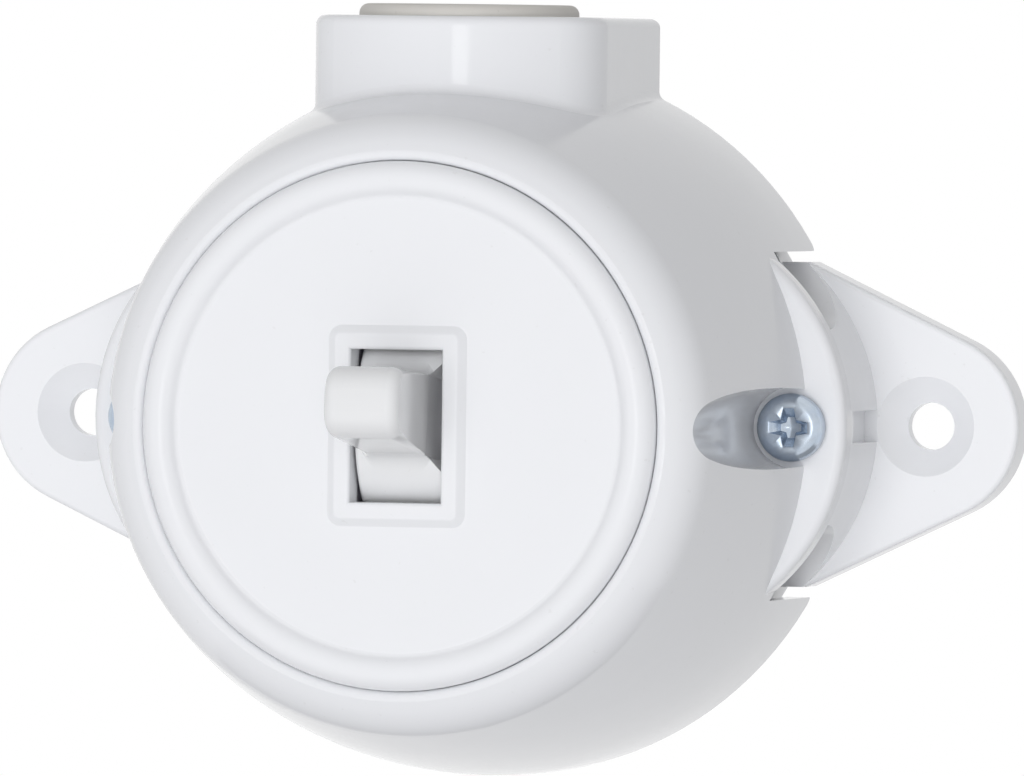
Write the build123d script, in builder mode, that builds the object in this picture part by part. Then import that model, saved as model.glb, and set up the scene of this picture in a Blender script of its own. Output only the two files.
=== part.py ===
from build123d import *

import math
import os

# Round surface-mounted toggle light switch, in millimetres.
# The wall is the plane Y = 0, the front of the switch faces -Y and +Z is up.
# The origin lies on the wall, on the axis of the round cover.
# A "depth" is a distance from the wall towards the front.

# Clearances
running_gap = 0.05
pressed_gap = 0.02
side_gap = 0.15
cover_gap = 0.8

# Cover shell
skirt_radius = 42.25
skirt_back = 0.5
skirt_straight = 2.0
neck_radius = 36.3
shoulder_height = 5.0
shoulder_drop = 0.1
cover_wall = 2.4
mouth_edge_radius = 0.9
mouth_edge_wall_share = 0.17
ledge_width = 2.45
ledge_thickness = 2.5
inner_bevel = 1.2

# Conduit hub on top of the cover
hub_width = 35.2
hub_front = 37.0
hub_rise = 5.5
hub_front_radius = 24.0
hub_corner_radius = 9.0
hub_top_radius = 1.1
hub_root_radius = 1.2
hub_top_wall = 3.0
hub_hole_radius = 8.0
hub_hole_depth = 22.5

# Side flanges of the cover and the screws that go through them
shelf_depth = 21.5
flange_thickness = 3.5
flange_proud = 3.55
flange_arc_radius = 25.3
flange_edge_radius = 1.1
screw_inset = 2.7
screw_shank_radius = 2.0
screw_head_radius = 4.0
screw_head_height = 2.4
screw_length = 16.0
screw_hole_slack = 0.2
groove_slack = 0.75
groove_wall = 2.0

# Base plate with its ears and bosses
base_thickness = 2.6
rim_width = 2.0
rim_height = 3.4
ear_thickness = 5.0
ear_root_half = 19.2
ear_root_inset = 4.9
ear_hole_offset = 9.35
ear_tip_radius = 11.2
ear_edge_radius = 0.7
ear_hole_radius = 2.8
ear_sink_radius = 5.9
sink_angle = 90.0
notch_gap = 1.3
notch_corner_radius = 1.2
boss_half = 11.5
boss_depth_inwards = 12.0
screw_hole_reserve = 2.0
slot_width = 3.8
slot_cut = 1.6
slot_top_wall = 0.8
core_width = 5.0
core_length = 5.2
core_roof = 4.0

# Front plate
plate_front = 53.1
plate_radius = 30.8
plate_gap = 0.04
plate_thickness = 2.9
bead_width = 4.0
bead_rise = 1.0
bead_edge_drop = 0.5
bead_root_radius = 0.8
plate_edge_radius = 0.9
opening_width = 10.95
opening_height = 17.8
border_width = 2.8
border_rise = 0.8
border_slope = 50.0
border_corner_radius = 1.6
border_edge_radius = 0.45
hook_count = 4
hook_angle = 45.0
hook_width = 8.0
hook_thickness = 1.8
hook_catch = 1.0
hook_catch_height = 1.4
post_radius = 3.2
post_length = 8.0
post_clear = 0.4

# Toggle lever
pivot_setback = 12.6
lever_tilt = 6.4
lever_width = 9.0
lever_waist_width = 7.0
lever_waist_sink = 0.5
lever_proud = 17.1
lever_root_half = 5.1
lever_nose_half = 4.1
nose_crown = 0.7
nose_radius = 3.2
lever_edge_radius = 1.5
drum_inset = 0.05
drum_back = 2.0
drum_side_gap = 0.25
drum_edge_radius = 0.6
drum_root_radius = 3.0
relief_root_half = 4.7
relief_edge_half = 7.3
lever_hub_radius = 5.0
lever_boss_radius = 3.6
tail_length = 12.0
tail_half = 3.0
pin_radius = 1.25

# Plunger and its spring, in the lever's tail
plunger_radius = 1.65
plunger_proud = 3.5
plunger_seat = 3.0
plunger_tip_radius = 1.2
plunger_cone = 1.0
plunger_stroke = 0.3
spring_length = 4.7
spring_wire_radius = 0.22
spring_turns = 5
spring_end_gap = 0.1

# Contacts
rocker_width = 6.1
rocker_length = 16.0
rocker_thickness = 0.8
rocker_tilt = 8.0
trunnion_radius = 0.8
contact_gap = 0.05
contact_radius = 1.5
contact_height = 0.8
contact_offset = 6.5
strip_thickness = 0.8
strip_width = 7.0
support_height = 5.05
support_half = 2.2
support_lip = 0.9
line_terminal_height = 8.5
load_terminal_height = 10.6
load_strip_start = 4.6

# Mechanism frame and its screws
cheek_gap = 0.5
cheek_thickness = 2.5
drum_gap = 0.8
frame_wall = 2.2
frame_back_wall = 2.5
lug_width = 8.0
lug_thickness = 2.5
small_shank_radius = 1.5
small_head_radius = 2.8
small_head_height = 2.2
frame_screw_length = 8.0
terminal_screw_reach = 1.0
washer_side = 7.0
washer_thickness = 1.0

# Shape of all the screw heads and ends, as shares of their own sizes
head_round_share = 0.6
recess_span_share = 1.15
recess_width_share = 0.3
recess_depth_share = 0.6
recess_taper = 6.0
end_chamfer_share = 0.3

# Entry grommet in the hub
grommet_flange_radius = 12.95
grommet_flange_height = 1.4
grommet_edge_height = 0.3
grommet_barb_radius = 9.0
grommet_barb_height = 1.6
grommet_barb_taper = 30.0
grommet_mouth_depth = 0.5
cable_radius = 4.2

# Depths and places that follow from the sizes above
plate_back = plate_front - plate_thickness
shoulder_depth = plate_front - shoulder_drop
neck_depth = shoulder_depth - shoulder_height
mouth_radius = plate_radius + plate_gap
mouth_fillet = min(mouth_edge_radius, mouth_edge_wall_share * (neck_radius - mouth_radius))
ledge_radius = mouth_radius - ledge_width
ledge_back = plate_back - ledge_thickness
hook_face_radius = ledge_radius - cover_gap / 2
flange_back = shelf_depth - flange_thickness
flange_reach = skirt_radius + flange_proud
flange_centre = flange_reach - flange_arc_radius
screw_x = skirt_radius - screw_inset
screw_hole_bottom = shelf_depth - screw_length - screw_hole_reserve
groove_radius = screw_head_radius + groove_slack
notch_half = ear_root_half + notch_gap
base_radius = skirt_radius - cover_wall - cover_gap
ear_hole_x = skirt_radius + ear_hole_offset
ear_root_x = skirt_radius - ear_root_inset
boss_inner_x = flange_reach - boss_depth_inwards
ear_root_angle = math.atan2(ear_root_half, ear_root_x - ear_hole_x)
ear_root_distance = math.hypot(ear_root_half, ear_root_x - ear_hole_x)
ear_touch_angle = ear_root_angle - math.acos(ear_tip_radius / ear_root_distance)
ear_touch = (
    ear_hole_x + ear_tip_radius * math.cos(ear_touch_angle),
    ear_tip_radius * math.sin(ear_touch_angle),
)
core_x = screw_x - core_width / 2
core_height = boss_half - core_length
hub_top = skirt_radius + hub_rise
grommet_height = grommet_flange_height + hub_top_wall + grommet_barb_height
pivot_depth = plate_front - pivot_setback
drum_radius = pivot_setback - drum_inset
drum_half_width = opening_width / 2 - drum_side_gap
lever_reach = pivot_setback + lever_proud
waist_reach = drum_radius - lever_waist_sink
bore_radius = plunger_radius + running_gap
bore_depth = plunger_seat + plunger_stroke + spring_end_gap + spring_length
tip_reach = tail_length + plunger_proud
rocker_depth = pivot_depth - tip_reach - contact_gap - rocker_thickness / 2
back_wall_front = rocker_depth - support_height
frame_back = back_wall_front - frame_back_wall
strip_front = back_wall_front + strip_thickness
cheek_inner = drum_half_width + cheek_gap
cheek_outer = cheek_inner + cheek_thickness
frame_inner_half = drum_radius + drum_gap
frame_outer_half = frame_inner_half + frame_wall
post_height = frame_outer_half + post_clear + post_radius
lug_front = plate_back - post_length
lug_back = lug_front - lug_thickness
line_strip_length = frame_inner_half - side_gap + support_half
load_strip_length = frame_inner_half - side_gap - load_strip_start
support_inner = rocker_width / 2 + side_gap
support_outer = support_inner + strip_thickness
rock = math.radians(rocker_tilt)
fixed_tip_front = (
    rocker_depth
    - (contact_offset + contact_radius) * math.sin(rock)
    - (rocker_thickness / 2 + contact_height) * math.cos(rock)
    - contact_gap
)

sides = {"right": 1, "left": -1}
both_signs = (1, -1)
beyond = 20.0


def at_depth(depth):
    """Plane parallel to the wall: X to the right, Z up, normal towards the front."""
    return Plane.XZ.offset(depth)


# Half section of the round mouldings: local X is the radius, local Y the depth
half_section = Plane(origin=(0, 0, 0), x_dir=(1, 0, 0), z_dir=(0, 0, -1))

# Side elevation: local X is the height, local Y the depth, normal along +X
side_elevation = Plane(origin=(0, 0, 0), x_dir=(0, 0, 1), z_dir=(1, 0, 0))

# The lever's own plane: local X runs along the lever to its nose, local Y is up across it
tilt = math.radians(lever_tilt)
lever_plane = Plane(
    origin=(0, -pivot_depth, 0),
    x_dir=(0, -math.cos(tilt), math.sin(tilt)),
    z_dir=(-1, 0, 0),
)
lever_axis = Axis(lever_plane.origin, lever_plane.x_dir)
lever_across = Plane(origin=lever_plane.origin, x_dir=lever_plane.x_dir, z_dir=lever_plane.y_dir)
relief_floor = Plane(
    origin=lever_plane.from_local_coords(Vector(lever_hub_radius, 0, 0)),
    x_dir=(1, 0, 0),
    z_dir=lever_plane.x_dir,
)
tail_end = Plane(
    origin=lever_plane.from_local_coords(Vector(-tail_length, 0, 0)),
    x_dir=(1, 0, 0),
    z_dir=-lever_plane.x_dir,
)

# The rocker's own plane: local X runs up the strip, local Y towards the lever
rocker_plane = Plane(
    origin=(0, -rocker_depth, 0),
    x_dir=(0, -math.sin(rock), math.cos(rock)),
    z_dir=(-1, 0, 0),
)
rocker_back = Plane(
    origin=rocker_plane.from_local_coords(Vector(0, -rocker_thickness / 2, 0)),
    x_dir=rocker_plane.x_dir,
    z_dir=-rocker_plane.y_dir,
)


def hub_plan(inset):
    """Plan of the conduit hub, drawn in from its outer faces by the inset."""
    half_width = hub_width / 2 - inset
    front_radius = hub_front_radius - inset
    front = hub_front - inset
    side_end = front - front_radius + math.sqrt(front_radius**2 - half_width**2)
    with BuildSketch() as plan:
        with BuildLine():
            crest = ThreePointArc((-half_width, -side_end), (0, -front), (half_width, -side_end))
            back = -skirt_back - inset
            Polyline(crest @ 1, (half_width, back), (-half_width, back), crest @ 0)
        make_face()
        fillet(plan.vertices().group_by(Axis.Y)[0], hub_corner_radius - inset)
    return plan.sketch


def pan_head_screw(seat, shank_radius, length, head_radius, head_height):
    """Pan-head screw with a cross recess, its head standing up from the seat plane."""
    with BuildPart() as screw:
        with BuildSketch(seat):
            Circle(head_radius)
        extrude(amount=head_height)
        crown = screw.faces().sort_by(Axis(seat.origin, seat.z_dir))[-1]
        fillet(crown.edges(), head_height * head_round_share)
        with BuildSketch(seat):
            Circle(shank_radius)
        extrude(amount=-length)
        point = screw.faces().sort_by(Axis(seat.origin, seat.z_dir))[0]
        chamfer(point.edges(), shank_radius * end_chamfer_share)
        with BuildSketch(seat.offset(head_height)):
            Rectangle(head_radius * recess_span_share, head_radius * recess_width_share)
            Rectangle(head_radius * recess_width_share, head_radius * recess_span_share)
        extrude(amount=-head_height * recess_depth_share, taper=recess_taper, mode=Mode.SUBTRACT)
    return screw.part


os.makedirs("parts", exist_ok=True)


def save(part, name):
    """Labels a finished piece and writes it."""
    part.label = name
    export_step(part, f"parts/{name}.step")


# Base plate: back disc, locating rim, two ears and two screw bosses in one moulding
with BuildPart() as screw_boss:
    with BuildSketch(at_depth(0)):
        with Locations((flange_centre, 0)):
            Circle(flange_arc_radius)
        with Locations((boss_inner_x, 0)):
            Rectangle(beyond, 2 * skirt_radius, align=(Align.MIN, Align.CENTER), mode=Mode.INTERSECT)
    extrude(amount=flange_back)
    with BuildSketch(side_elevation):
        with BuildLine():
            flare = TangentArc((boss_half, flange_back), (ear_root_half, ear_thickness), tangent=(0, -1))
            Polyline(flare @ 1, (ear_root_half, 0), (0, 0), (0, flange_back), flare @ 0)
        make_face()
        mirror(about=Plane.YZ)
    extrude(amount=2 * skirt_radius, mode=Mode.INTERSECT)
    with BuildSketch(at_depth(ear_thickness)):
        with Locations((flange_reach - slot_cut, 0)):
            Rectangle(beyond, slot_width, align=(Align.MIN, Align.CENTER))
    extrude(amount=flange_back - slot_top_wall - ear_thickness, mode=Mode.SUBTRACT)

with BuildPart() as base_plate:
    with BuildSketch(at_depth(0)):
        with BuildLine():
            tip = ThreePointArc(
                ear_touch, (ear_hole_x + ear_tip_radius, 0), (ear_touch[0], -ear_touch[1])
            )
            Polyline(
                tip @ 1,
                (ear_root_x, -ear_root_half),
                (boss_inner_x, -ear_root_half),
                (boss_inner_x, ear_root_half),
                (ear_root_x, ear_root_half),
                tip @ 0,
            )
        make_face()
        mirror(about=Plane.YZ)
    extrude(amount=ear_thickness)
    fillet(base_plate.faces().group_by(Axis.Y)[0].edges(), ear_edge_radius)
    with BuildSketch(at_depth(0)):
        Circle(base_radius)
    extrude(amount=base_thickness)
    with BuildSketch(at_depth(base_thickness)):
        Circle(base_radius)
        Circle(base_radius - rim_width, mode=Mode.SUBTRACT)
        with Locations((0, base_radius)):
            Rectangle(hub_width, base_radius, mode=Mode.SUBTRACT)
    extrude(amount=rim_height)
    add(screw_boss.part)
    add(screw_boss.part.mirror(Plane.YZ))
    with BuildSketch(at_depth(0)):
        for side in sides.values():
            with Locations(*[(side * core_x, sign * core_height) for sign in both_signs]):
                Rectangle(core_width, core_length)
    extrude(amount=flange_back - core_roof, mode=Mode.SUBTRACT)
    with BuildSketch(at_depth(screw_hole_bottom)):
        with Locations(*[(side * screw_x, 0) for side in sides.values()]):
            Circle(screw_shank_radius + running_gap)
    extrude(amount=flange_back - screw_hole_bottom, mode=Mode.SUBTRACT)
    with Locations(*[at_depth(ear_thickness) * Pos(side * ear_hole_x, 0) for side in sides.values()]):
        CounterSinkHole(ear_hole_radius, ear_sink_radius, ear_thickness, sink_angle)
save(base_plate.part, "base_plate")

# Cover shell: domed wall, conduit hub, side flanges and screw grooves in one moulding
with BuildSketch(half_section) as dome_section:
    with BuildLine():
        skirt = Polyline((0, skirt_back), (skirt_radius, skirt_back), (skirt_radius, skirt_straight))
        wall = TangentArc(skirt @ 1, (neck_radius, neck_depth), tangent=(0, 1))
        shoulder = TangentArc(wall @ 1, (mouth_radius, shoulder_depth), tangent=wall % 1)
        Polyline(shoulder @ 1, (0, shoulder_depth), (0, skirt_back))
    make_face()

with BuildSketch(half_section) as cavity_section:
    with BuildLine():
        inner_radius = skirt_radius - cover_wall
        inner_neck = neck_radius - cover_wall
        inner_skirt = Polyline((0, 0), (inner_radius, 0), (inner_radius, skirt_straight))
        inner_wall = TangentArc(inner_skirt @ 1, (inner_neck, ledge_back - inner_bevel), tangent=(0, 1))
        Polyline(inner_wall @ 1, (inner_neck - inner_bevel, ledge_back), (0, ledge_back), (0, 0))
    make_face()

with BuildPart() as groove_walls:
    revolve(dome_section.sketch, axis=Axis.Y)
    with BuildSketch(at_depth(flange_back)):
        with Locations(*[(side * screw_x, 0) for side in sides.values()]):
            Circle(groove_radius + groove_wall)
    extrude(amount=shoulder_depth, mode=Mode.INTERSECT)

with BuildPart() as cover_shell:
    revolve(dome_section.sketch, axis=Axis.Y)
    with BuildSketch(Plane.XY.offset(neck_radius / 2)):
        add(hub_plan(0))
    extrude(amount=hub_top - neck_radius / 2)
    fillet(cover_shell.edges(Select.NEW), hub_root_radius)
    fillet(cover_shell.faces().sort_by(Axis.Z)[-1].edges(), hub_top_radius)
    revolve(cavity_section.sketch, axis=Axis.Y, mode=Mode.SUBTRACT)
    with BuildSketch(Plane.XY):
        add(hub_plan(cover_wall))
    extrude(amount=hub_top - hub_top_wall, mode=Mode.SUBTRACT)
    with BuildSketch(Plane.XY.offset(hub_top)):
        with Locations((0, -hub_hole_depth)):
            Circle(hub_hole_radius)
    extrude(amount=-2 * hub_top_wall, mode=Mode.SUBTRACT)
    with BuildSketch(at_depth(ledge_back - inner_bevel)):
        Circle(ledge_radius)
    extrude(amount=beyond, mode=Mode.SUBTRACT)
    with BuildSketch(at_depth(plate_back)):
        Circle(mouth_radius)
    extrude(amount=beyond, mode=Mode.SUBTRACT)
    mouth_rim = cover_shell.edges().filter_by(GeomType.CIRCLE).filter_by(
        lambda rim: abs(rim.radius - mouth_radius) < running_gap
    )
    fillet(mouth_rim.sort_by(Axis.Y)[0], mouth_fillet)
    with BuildSketch(at_depth(0)):
        for side in sides.values():
            with Locations((side * skirt_radius, 0)):
                Rectangle(beyond, 2 * notch_half)
    extrude(amount=flange_back, mode=Mode.SUBTRACT)
    back_rim = cover_shell.edges().filter_by_position(Axis.Y, -skirt_back, -skirt_back)
    fillet(back_rim.filter_by(Axis.X), notch_corner_radius)
    with BuildSketch(at_depth(flange_back)):
        for side in sides.values():
            with Locations((side * flange_centre, 0)):
                Circle(flange_arc_radius)
        Rectangle(2 * boss_inner_x, 2 * skirt_radius, mode=Mode.SUBTRACT)
    extrude(amount=flange_thickness)
    add(groove_walls.part)
    with BuildSketch(at_depth(shelf_depth)):
        with Locations(*[(side * screw_x, 0) for side in sides.values()]):
            Circle(groove_radius)
    extrude(amount=shoulder_depth, mode=Mode.SUBTRACT)
    with BuildSketch(at_depth(0)):
        with Locations(*[(side * screw_x, 0) for side in sides.values()]):
            Circle(screw_shank_radius + screw_hole_slack)
    extrude(amount=shoulder_depth, mode=Mode.SUBTRACT)
    flange_edges = cover_shell.edges().filter_by(GeomType.CIRCLE).filter_by(
        lambda edge: abs(edge.radius - flange_arc_radius) < running_gap
        and abs(edge.center().Y + shelf_depth) < running_gap
    )
    fillet(flange_edges, flange_edge_radius)
save(cover_shell.part, "cover_shell")

# Front plate: beaded disc, raised border round the lever, snap hooks and screw posts
with BuildPart() as front_plate:
    with BuildSketch(half_section):
        bead_inner = plate_radius - bead_width
        bead_middle = plate_radius - bead_width / 2
        with BuildLine():
            edge = Polyline(
                (0, plate_back),
                (plate_radius, plate_back),
                (plate_radius, plate_front - bead_edge_drop),
            )
            bead_crest = (bead_middle, plate_front + bead_rise)
            bead = ThreePointArc(edge @ 1, bead_crest, (bead_inner, plate_front))
            Polyline(bead @ 1, (0, plate_front), (0, plate_back))
        make_face()
    revolve(axis=Axis.Y)
    bead_root = front_plate.edges().filter_by(GeomType.CIRCLE).filter_by(
        lambda rim: abs(rim.radius - bead_inner) < running_gap
    )
    fillet(bead_root, bead_root_radius)
    plate_rims = front_plate.edges().filter_by(GeomType.CIRCLE).filter_by(
        lambda rim: abs(rim.radius - plate_radius) < running_gap
    )
    fillet(plate_rims.sort_by(Axis.Y)[0], plate_edge_radius)
    with BuildSketch(at_depth(plate_front)):
        RectangleRounded(
            opening_width + 2 * border_width, opening_height + 2 * border_width, border_corner_radius
        )
    extrude(amount=border_rise, taper=border_slope)
    with BuildSketch(at_depth(plate_back)):
        Rectangle(opening_width, opening_height)
    extrude(amount=beyond, mode=Mode.SUBTRACT)
    fillet(front_plate.faces().filter_by(Axis.Y).sort_by(Axis.Y)[0].edges(), border_edge_radius)
    with BuildSketch(at_depth(plate_back)):
        with PolarLocations(hook_face_radius - hook_thickness / 2, hook_count, start_angle=hook_angle):
            Rectangle(hook_thickness, hook_width)
    extrude(amount=-(ledge_thickness + hook_catch_height + running_gap))
    with BuildSketch(at_depth(ledge_back - running_gap)):
        with PolarLocations(hook_face_radius, hook_count, start_angle=hook_angle):
            Rectangle(hook_catch, hook_width, align=(Align.MIN, Align.CENTER))
    extrude(amount=-hook_catch_height)
    with BuildSketch(at_depth(plate_back)):
        with Locations(*[(0, sign * post_height) for sign in both_signs]):
            Circle(post_radius)
    extrude(amount=-post_length)
    with BuildSketch(at_depth(lug_front)):
        with Locations(*[(0, sign * post_height) for sign in both_signs]):
            Circle(small_shank_radius + running_gap)
    extrude(amount=frame_screw_length, mode=Mode.SUBTRACT)
save(front_plate.part, "front_plate")

# Toggle lever: arm with a rounded nose and a waist at its root, drum that closes the opening and
# has a deep relief at the right of the root, tail with the plunger bore
with BuildSketch(lever_plane) as drum_section:
    Circle(drum_radius)
    with Locations((drum_back, 0)):
        Rectangle(drum_radius, 2 * drum_radius, align=(Align.MIN, Align.CENTER), mode=Mode.INTERSECT)

with BuildPart() as toggle_lever:
    with BuildSketch(lever_plane):
        add(drum_section.sketch_local)
        with BuildLine():
            top = Line((0, lever_root_half), (lever_reach - nose_crown, lever_nose_half))
            nose = ThreePointArc(top @ 1, (lever_reach, 0), (lever_reach - nose_crown, -lever_nose_half))
            Polyline(nose @ 1, (0, -lever_root_half), (0, lever_root_half))
        make_face()
        Circle(lever_hub_radius)
        Rectangle(tail_length, 2 * tail_half, align=(Align.MAX, Align.CENTER))
    extrude(amount=lever_width / 2, both=True)
    fillet(toggle_lever.edges().filter_by(Axis.X).sort_by(Axis.Y)[:2], nose_radius)
    drum_roots = toggle_lever.edges().filter_by(Axis.X).filter_by(
        lambda edge: abs((edge.center() - lever_plane.origin).length - drum_radius) < running_gap
        and -edge.center().Y > plate_back
    )
    fillet(drum_roots, drum_root_radius)
    arm_rims = toggle_lever.faces().filter_by(Axis.X).edges().filter_by(
        lambda edge: -edge.center().Y > plate_front + border_rise
    )
    fillet(arm_rims, lever_edge_radius)
    extrude(drum_section.sketch, amount=drum_half_width, both=True)
    drum_rims = toggle_lever.edges().filter_by(GeomType.CIRCLE).filter_by(
        lambda rim: abs(rim.radius - drum_radius) < running_gap
        and abs(abs(rim.center().X) - drum_half_width) < running_gap
    )
    fillet(drum_rims, drum_edge_radius)
    with BuildSketch(lever_across):
        with BuildLine():
            Polyline(
                (waist_reach, lever_waist_width / 2),
                (lever_reach, lever_width / 2),
                (lever_reach, lever_width),
                (waist_reach, lever_width),
                close=True,
            )
        make_face()
        mirror(about=Plane.XZ)
    extrude(amount=drum_radius, both=True, mode=Mode.SUBTRACT)
    with BuildSketch(relief_floor):
        with BuildLine():
            Polyline(
                (lever_waist_width / 2, -relief_root_half),
                (cheek_inner, -relief_edge_half),
                (cheek_inner, relief_edge_half),
                (lever_waist_width / 2, relief_root_half),
                close=True,
            )
        make_face()
    extrude(amount=waist_reach - lever_hub_radius, mode=Mode.SUBTRACT)
    with BuildSketch(lever_plane):
        Circle(lever_boss_radius)
    extrude(amount=cheek_inner - side_gap, both=True)
    with BuildSketch(lever_plane):
        Circle(pin_radius + running_gap)
    extrude(amount=cheek_outer, both=True, mode=Mode.SUBTRACT)
    with BuildSketch(tail_end):
        Circle(bore_radius)
    extrude(amount=-bore_depth, mode=Mode.SUBTRACT)
save(toggle_lever.part, "toggle_lever")

# Steel pin that the lever turns on, pressed into both cheeks of the frame
with BuildPart() as lever_pivot_pin:
    with BuildSketch(lever_plane):
        Circle(pin_radius)
    extrude(amount=cheek_outer, both=True)
    chamfer(lever_pivot_pin.edges().filter_by(GeomType.CIRCLE), pin_radius * end_chamfer_share)
save(lever_pivot_pin.part, "lever_pivot_pin")

# Plunger: a round push pin with a rounded tip
with BuildPart() as plunger:
    with BuildSketch(lever_plane):
        inner_end = -(tail_length - plunger_seat)
        tip_centre = -(tip_reach - plunger_tip_radius)
        cone_start = tip_centre + plunger_cone
        quarter = math.radians(45)
        with BuildLine():
            flank = Polyline(
                (inner_end, 0),
                (inner_end, plunger_radius),
                (cone_start, plunger_radius),
                (tip_centre, plunger_tip_radius),
            )
            ThreePointArc(
                flank @ 1,
                (
                    tip_centre - plunger_tip_radius * math.cos(quarter),
                    plunger_tip_radius * math.sin(quarter),
                ),
                (-tip_reach, 0),
            )
            Line((-tip_reach, 0), flank @ 0)
        make_face()
    revolve(axis=lever_axis)
save(plunger.part, "plunger")

# Coil spring between the plunger and the end of its bore
spring_coil_radius = bore_radius - 2 * running_gap - spring_wire_radius
spring_seat = tail_end.offset(-bore_depth + spring_wire_radius)
coil_height = spring_length - 2 * spring_wire_radius
with BuildPart() as plunger_spring:
    with BuildLine():
        coil = Helix(
            pitch=coil_height / spring_turns,
            height=coil_height,
            radius=spring_coil_radius,
            center=spring_seat.origin,
            direction=spring_seat.z_dir,
        )
    with BuildSketch(Plane(origin=coil @ 0, z_dir=coil % 0)):
        Circle(spring_wire_radius)
    sweep(path=coil, is_frenet=True)
save(plunger_spring.part, "plunger_spring")

# Contact rocker: brass strip with two trunnions
with BuildPart() as contact_rocker:
    with BuildSketch(rocker_plane):
        Rectangle(rocker_length, rocker_thickness)
    extrude(amount=rocker_width / 2, both=True)
    for sign in both_signs:
        with BuildSketch(rocker_plane.offset(sign * rocker_width / 2)):
            Circle(trunnion_radius)
        extrude(amount=sign * (support_outer - rocker_width / 2))
    with BuildSketch(rocker_back.offset(-rocker_thickness)):
        with Locations((-contact_offset, 0)):
            Circle(contact_radius / 2 + pressed_gap)
    extrude(amount=2 * rocker_thickness, mode=Mode.SUBTRACT)
save(contact_rocker.part, "contact_rocker")

# Silver rivet in the lower end of the rocker
with BuildPart() as rocker_contact_tip:
    with BuildSketch(rocker_back):
        with Locations((-contact_offset, 0)):
            Circle(contact_radius)
    extrude(amount=contact_height)
    with BuildSketch(rocker_back):
        with Locations((-contact_offset, 0)):
            Circle(contact_radius / 2)
    extrude(amount=-rocker_thickness)
save(rocker_contact_tip.part, "rocker_contact_tip")

# Brass bracket that the rocker turns in, with the line terminal
with BuildPart() as rocker_support:
    with BuildSketch(at_depth(back_wall_front)):
        with Locations((0, -support_half)):
            Rectangle(strip_width, line_strip_length, align=(Align.CENTER, Align.MIN))
        Rectangle(2 * support_outer, 2 * support_half)
    extrude(amount=strip_thickness)
    with BuildSketch(at_depth(back_wall_front)):
        with Locations(*[(sign * (support_inner + support_outer) / 2, 0) for sign in both_signs]):
            Rectangle(support_outer - support_inner, 2 * support_half)
    extrude(amount=support_height + trunnion_radius + support_lip)
    with BuildSketch(Plane.YZ):
        with Locations((-rocker_depth, 0)):
            Circle(trunnion_radius + running_gap)
    extrude(amount=cheek_outer, both=True, mode=Mode.SUBTRACT)
    with BuildSketch(at_depth(back_wall_front)):
        with Locations((0, line_terminal_height)):
            Circle(small_shank_radius + pressed_gap)
    extrude(amount=strip_thickness, mode=Mode.SUBTRACT)
save(rocker_support.part, "rocker_support")

# Brass strip of the other pole, with the load terminal
with BuildPart() as fixed_contact:
    with BuildSketch(at_depth(back_wall_front)):
        with Locations((0, -load_strip_start)):
            Rectangle(strip_width, load_strip_length, align=(Align.CENTER, Align.MAX))
        with Locations((0, -contact_offset)):
            Circle(contact_radius / 2 + pressed_gap, mode=Mode.SUBTRACT)
        with Locations((0, -load_terminal_height)):
            Circle(small_shank_radius + pressed_gap, mode=Mode.SUBTRACT)
    extrude(amount=strip_thickness)
save(fixed_contact.part, "fixed_contact")

# Silver rivet in that strip, which the rocker's rivet closes on
with BuildPart() as fixed_contact_tip:
    with BuildSketch(at_depth(back_wall_front)):
        with Locations((0, -contact_offset)):
            Circle(contact_radius / 2)
    extrude(amount=strip_thickness)
    with BuildSketch(at_depth(strip_front)):
        with Locations((0, -contact_offset)):
            Circle(contact_radius)
    extrude(amount=fixed_tip_front - strip_front)
save(fixed_contact_tip.part, "fixed_contact_tip")

# Mechanism frame: an insulating box open to the front, with a lug above and below
with BuildPart() as mechanism_frame:
    with BuildSketch(at_depth(frame_back)):
        Rectangle(2 * cheek_outer, 2 * frame_outer_half)
    extrude(amount=plate_back - frame_back)
    with BuildSketch(at_depth(back_wall_front)):
        Rectangle(2 * cheek_inner, 2 * frame_inner_half)
    extrude(amount=plate_back - back_wall_front, mode=Mode.SUBTRACT)
    with BuildSketch(at_depth(lug_back)):
        for sign in both_signs:
            with Locations((0, sign * (frame_inner_half + post_height + post_radius) / 2)):
                Rectangle(lug_width, post_height + post_radius - frame_inner_half)
    extrude(amount=lug_thickness)
    with BuildSketch(at_depth(lug_back)):
        with Locations(*[(0, sign * post_height) for sign in both_signs]):
            Circle(small_shank_radius + screw_hole_slack)
    extrude(amount=lug_thickness, mode=Mode.SUBTRACT)
    with BuildSketch(at_depth(frame_back)):
        with Locations((0, line_terminal_height), (0, -load_terminal_height)):
            Circle(small_shank_radius + screw_hole_slack)
    extrude(amount=frame_back_wall, mode=Mode.SUBTRACT)
    with BuildSketch(lever_plane):
        Circle(pin_radius + pressed_gap)
    extrude(amount=cheek_outer, both=True, mode=Mode.SUBTRACT)
save(mechanism_frame.part, "mechanism_frame")

# Terminal screws with their square clamp washers, on the back of the frame
terminals = {"line": line_terminal_height, "load": -load_terminal_height}
for pole, height in terminals.items():
    with BuildPart() as clamp_washer:
        with BuildSketch(at_depth(frame_back - washer_thickness)):
            with Locations((0, height)):
                Rectangle(washer_side, washer_side)
                Circle(small_shank_radius + screw_hole_slack, mode=Mode.SUBTRACT)
        extrude(amount=washer_thickness)
    save(clamp_washer.part, f"{pole}_clamp_washer")
    terminal_seat = Plane(origin=(0, washer_thickness - frame_back, height), z_dir=(0, 1, 0))
    terminal_length = washer_thickness + frame_back_wall + strip_thickness + terminal_screw_reach
    terminal_screw = pan_head_screw(
        terminal_seat, small_shank_radius, terminal_length, small_head_radius, small_head_height
    )
    save(terminal_screw, f"{pole}_terminal_screw")

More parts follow.
